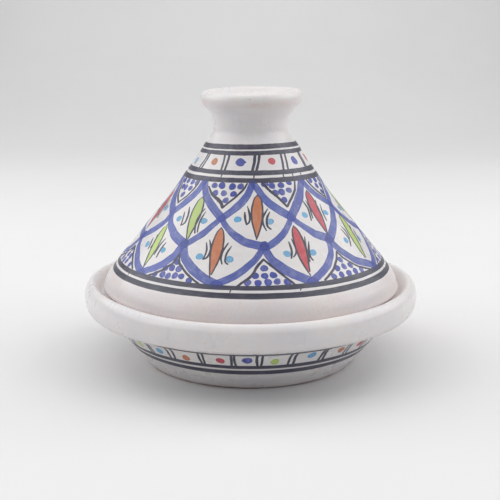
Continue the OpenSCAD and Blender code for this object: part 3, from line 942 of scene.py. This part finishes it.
# ------------------------------------------------------------------ materials
class Nodes:
    def __init__(self, name):
        self.mat = bpy.data.materials.new(name)
        self.mat.use_nodes = True
        self.t = self.mat.node_tree
        self.t.nodes.clear()
        self.out = self.t.nodes.new("ShaderNodeOutputMaterial")
        self.x = 0

    def new(self, kind, **kw):
        n = self.t.nodes.new("ShaderNode" + kind)
        self.x += 40
        n.location = (self.x, -self.x % 600)
        for k, v in kw.items():
            setattr(n, k, v)
        return n

    def put(self, sock, v):
        if isinstance(v, bpy.types.NodeSocket):
            self.t.links.new(v, sock)
        elif isinstance(v, (tuple, list, np.ndarray)) and len(v) == 3 and sock.type == "RGBA":
            sock.default_value = (*[float(x) for x in v], 1)
        else:
            sock.default_value = v if not isinstance(v, np.ndarray) else [float(x) for x in v]

    def math(self, op, a, b=None, c=None, clamp=False):
        n = self.new("Math", operation=op, use_clamp=clamp)
        for i, v in enumerate((a, b, c)):
            if v is not None:
                self.put(n.inputs[i], v)
        return n.outputs[0]

    def vmath(self, op, a, b=None, out=0):
        n = self.new("VectorMath", operation=op)
        self.put(n.inputs[0], a)
        if b is not None:
            self.put(n.inputs[1], b)
        return n.outputs[out]

    def noise(self, vec, scale, detail=2.0, rough=0.5, out="Fac", distortion=0.0, dims="3D"):
        n = self.new("TexNoise", noise_dimensions=dims)
        if vec is not None:
            self.put(n.inputs["Vector"], vec)
        self.put(n.inputs["Scale"], scale)
        self.put(n.inputs["Detail"], detail)
        self.put(n.inputs["Roughness"], rough)
        self.put(n.inputs["Distortion"], distortion)
        return n.outputs[out]

    def ramp(self, v, a, b, to=(0.0, 1.0), smooth=True):
        n = self.new("MapRange", interpolation_type="SMOOTHSTEP" if smooth else "LINEAR")
        for k, x in (("Value", v), ("From Min", a), ("From Max", b), ("To Min", to[0]), ("To Max", to[1])):
            self.put(n.inputs[k], x)
        return n.outputs[0]

    def mix(self, f, a, b, blend="MIX"):
        n = self.new("Mix", data_type="RGBA", blend_type=blend)
        self.put(n.inputs[0], f)
        self.put(n.inputs[6], a)
        self.put(n.inputs[7], b)
        return n.outputs[2]

    def attr(self, name, out="Vector"):
        n = self.new("Attribute", attribute_name=name)
        return n.outputs[out]


def glaze(name, specks):
    """White glaze over pink earthenware, with colour brushed on under it."""
    g = Nodes(name)
    pos = g.new("TexCoord").outputs["Object"]
    mm = g.vmath("MULTIPLY", pos, (1000, 1000, 1000))
    # white glaze: slow drifts between cream and grey, fine mottle, thin places
    drift = g.noise(mm, 0.021, 3, 0.55)
    mott = g.noise(mm, 0.22, 3, 0.6)
    fine = g.noise(mm, 1.3, 2, 0.6)
    white = g.mix(g.ramp(drift, 0.32, 0.68), lin(230, 227, 225), lin(222, 220, 222))
    white = g.mix(g.math("MULTIPLY", g.ramp(mott, 0.35, 0.75), 0.34), white, lin(230, 217, 211))
    white = g.mix(g.math("MULTIPLY", g.ramp(fine, 0.52, 0.8), 0.10), white, lin(206, 196, 192))
    # pink clay where glaze ran thin, mixed with painted shade under the knob's roll, on the lid's lower skirt and under
    # the dish's rim
    clay_and_shade = g.math("MULTIPLY", g.attr("clay_and_shade", "Fac"), g.ramp(g.noise(mm, 0.55, 4, 0.62), 0.30, 0.62, (0.35, 1.0)), clamp=True)
    white = g.mix(g.math("MULTIPLY", clay_and_shade, 0.55), white, lin(212, 186, 178))
    # iron specks, few and small
    vo = g.new("TexVoronoi", feature="F1")
    g.put(vo.inputs["Vector"], mm)
    g.put(vo.inputs["Scale"], 0.085)
    g.put(vo.inputs["Randomness"], 1.0)
    sep = g.new("SeparateColor")
    g.put(sep.inputs[0], vo.outputs["Color"])
    speck = g.math("MULTIPLY", g.ramp(vo.outputs["Distance"], 0.045, 0.018), g.math("GREATER_THAN", sep.outputs[0], 0.72))
    for p, r in specks:
        d = g.vmath("DISTANCE", mm, p, out="Value")
        speck = g.math("MAXIMUM", speck, g.ramp(d, r, r * 0.35))
    white = g.mix(g.math("MULTIPLY", speck, 0.75), white, lin(120, 92, 80))
    # paint: streaks run along the stroke, the colour pools at its edges
    uv, fx = g.attr("paint_uv"), g.attr("paint_fx")
    sx = g.new("SeparateXYZ")
    g.put(sx.inputs[0], uv)
    fs = g.new("SeparateXYZ")
    g.put(fs.inputs[0], fx)
    mask, wash, strk = fs.outputs
    cmb = g.new("CombineXYZ")
    g.put(cmb.inputs[0], g.math("MULTIPLY", sx.outputs[0], 0.11))
    g.put(cmb.inputs[1], g.math("MULTIPLY", sx.outputs[1], 1.9))
    g.put(cmb.inputs[2], sx.outputs[2])
    bristle = g.noise(cmb.outputs[0], 1.6, 3, 0.6)
    cm2 = g.new("CombineXYZ")
    g.put(cm2.inputs[0], g.math("MULTIPLY", sx.outputs[0], 0.16))
    g.put(cm2.inputs[1], g.math("MULTIPLY", sx.outputs[1], 0.5))
    g.put(cm2.inputs[2], g.math("ADD", sx.outputs[2], 5.3))
    load = g.noise(cm2.outputs[0], 1.0, 2, 0.5)
    pc = g.attr("paint_col", "Color")
    pool = g.ramp(g.math("ABSOLUTE", sx.outputs[1]), 0.62, 1.0, (0.0, 0.22))
    dark = g.math("ADD", pool, g.math("MULTIPLY", g.ramp(bristle, 0.5, 0.78), g.math("MULTIPLY", strk, 0.55)), clamp=True)
    pc2 = g.mix(dark, pc, g.mix(1.0, pc, lin(150, 150, 190), "MULTIPLY"))
    thin = g.math("MULTIPLY", wash, g.math("ADD", g.ramp(bristle, 0.52, 0.25), g.ramp(load, 0.55, 0.25)), clamp=True)
    cover = g.math("MULTIPLY", mask, g.math("SUBTRACT", 1.0, thin), clamp=True)
    col = g.mix(cover, white, pc2)
    # unglazed clay on the foot
    bare = g.math("MULTIPLY", g.attr("bare", "Fac"), g.ramp(g.noise(mm, 0.8, 3, 0.6), 0.25, 0.5, (0.7, 1.0)), clamp=True)
    raw = g.mix(g.ramp(g.noise(mm, 0.35, 4, 0.65), 0.3, 0.7), lin(150, 112, 104), lin(178, 142, 130))
    col = g.mix(bare, col, raw)
    # relief: thrown skin under a flowing glaze, pits, and the paint's thickness
    low = g.noise(mm, 0.085, 2, 0.5)
    peel = g.noise(mm, 0.42, 3, 0.55)
    grit = g.noise(mm, 3.0, 3, 0.6)
    h = g.math("ADD", g.math("MULTIPLY", low, 0.5), g.math("MULTIPLY", peel, 0.11))
    h = g.math("ADD", h, g.math("MULTIPLY", cover, 0.012))
    h = g.math("SUBTRACT", h, g.math("MULTIPLY", speck, 0.08))
    h = g.math("ADD", h, g.math("MULTIPLY", g.math("MULTIPLY", grit, bare), 0.25))
    bump = g.new("Bump")
    g.put(bump.inputs["Strength"], 0.55)
    g.put(bump.inputs["Distance"], 0.001)
    g.put(bump.inputs["Height"], h)
    rough = g.ramp(g.noise(mm, 0.06, 3, 0.6), 0.3, 0.7, (0.24, 0.36), smooth=False)
    rough = g.math("ADD", rough, g.math("MULTIPLY", cover, 0.06))
    rough = g.math("ADD", rough, g.math("MULTIPLY", clay_and_shade, 0.12))
    rough = g.math("MAXIMUM", rough, g.math("MULTIPLY", bare, 0.82))
    p = g.new("BsdfPrincipled")
    g.put(p.inputs["Base Color"], col)
    g.put(p.inputs["Roughness"], rough)
    g.put(p.inputs["Normal"], bump.outputs[0])
    p.inputs["IOR"].default_value = 1.52
    p.inputs["Specular IOR Level"].default_value = 0.42
    g.t.links.new(p.outputs[0], g.out.inputs[0])
    return g.mat


def backdrop_paper():
    g = Nodes("studio_paper")
    pos = g.new("TexCoord").outputs["Object"]
    n = g.noise(pos, 3.0, 4, 0.6)
    f = g.noise(pos, 260.0, 2, 0.6)
    c = g.mix(g.ramp(n, 0.3, 0.7), lin(229, 228, 227), lin(226, 226, 225))
    c = g.mix(g.math("MULTIPLY", f, 0.05), c, lin(214, 214, 216))
    bump = g.new("Bump")
    g.put(bump.inputs["Strength"], 0.1)
    g.put(bump.inputs["Distance"], 0.0004)
    g.put(bump.inputs["Height"], f)
    p = g.new("BsdfPrincipled")
    g.put(p.inputs["Base Color"], c)
    g.put(p.inputs["Roughness"], g.ramp(n, 0.3, 0.7, (0.7, 0.8)))
    g.put(p.inputs["Normal"], bump.outputs[0])
    p.inputs["Specular IOR Level"].default_value = 0.15
    g.t.links.new(p.outputs[0], g.out.inputs[0])
    return g.mat


# --------------------------------------------------------------------- pieces
lid = make_lid()
dish = make_dish()
lid.data.materials.append(glaze("lid_glaze_painted", [((-0.3, -37.9, 197.4), 0.75), ((19.5, -24.0, 174.5), 0.7)]))
dish.data.materials.append(glaze("dish_glaze_painted", [((-52.0, -111.0, 55.0), 0.5)]))
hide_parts("lid")
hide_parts("dish")
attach(lid, "lid")
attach(dish, "dish")

# ---------------------------------------------------------------------- stage
def sweep():
    """Pale paper: flat under the pot, curving up far behind it."""
    prof = [(-3.0, 0.0), (-1.0, 0.0), (0.0, 0.0), (0.8, 0.0), (1.5, 0.0)]
    prof += [(1.5 + 1.6 * math.sin(a), 1.6 - 1.6 * math.cos(a)) for a in np.radians(np.arange(5, 91, 5))]
    prof += [(3.1, 2.2), (3.1, 3.6)]
    xs = np.linspace(-3.2, 3.2, 9)
    v = [(x, y, z) for y, z in prof for x in xs]
    f = [(i * 9 + j, i * 9 + j + 1, i * 9 + j + 10, i * 9 + j + 9) for i in range(len(prof) - 1) for j in range(8)]
    me = bpy.data.meshes.new("backdrop")
    me.from_pydata(v, [], f)
    me.polygons.foreach_set("use_smooth", np.ones(len(f), bool))
    me.update()
    ob = bpy.data.objects.new("backdrop", me)
    bpy.context.scene.collection.objects.link(ob)
    return ob


floor = sweep()
floor.data.materials.append(backdrop_paper())

world = bpy.data.worlds.new("studio")
bpy.context.scene.world = world
world.use_nodes = True
bg = world.node_tree.nodes["Background"]
bg.inputs[0].default_value = (0.77, 0.79, 0.86, 1)
bg.inputs[1].default_value = 0.265


def area(name, loc, aim, size, power, color=(1, 1, 1)):
    d = bpy.data.lights.new(name, "AREA")
    d.shape = "RECTANGLE"
    d.size, d.size_y = size
    d.energy = power
    d.color = color
    o = bpy.data.objects.new(name, d)
    bpy.context.scene.collection.objects.link(o)
    o.location = loc
    o.rotation_euler = (Vector(aim) - Vector(loc)).to_track_quat("-Z", "Y").to_euler()
    return o


area("softbox_top", (0.0, 0.10, 1.9), (0, 0.08, 0), (2.3, 2.5), 18.3, (1.0, 0.985, 0.965))
area("softbox_left", (-1.5, 0.10, 1.25), (0, 0, 0.05), (2.4, 1.5), 24.5)
area("softbox_right", (1.5, 0.10, 1.25), (0, 0, 0.05), (2.4, 1.5), 23.3)
area("softbox_back", (0.0, 2.35, 1.5), (0, 2.7, 0.2), (3.0, 0.7), 7.5)

# --------------------------------------------------------------------- camera
ELEV = math.radians(12.274)
DIST = 0.6545
cd = bpy.data.cameras.new("camera")
cam = bpy.data.objects.new("camera", cd)
bpy.context.scene.collection.objects.link(cam)
cd.sensor_width = 36.0
cd.lens = 61.2
cd.shift_x = -0.0006
cd.clip_start, cd.clip_end = 0.02, 30
aim = Vector((0, 0, 0.0816))
cam.location = aim + DIST * Vector((0, -math.cos(ELEV), math.sin(ELEV)))
cam.rotation_euler = (math.pi / 2 - ELEV, 0, 0)
bpy.context.scene.camera = cam
bpy.context.scene.view_settings.view_transform = "Standard"
bpy.context.scene.view_settings.look = "None"
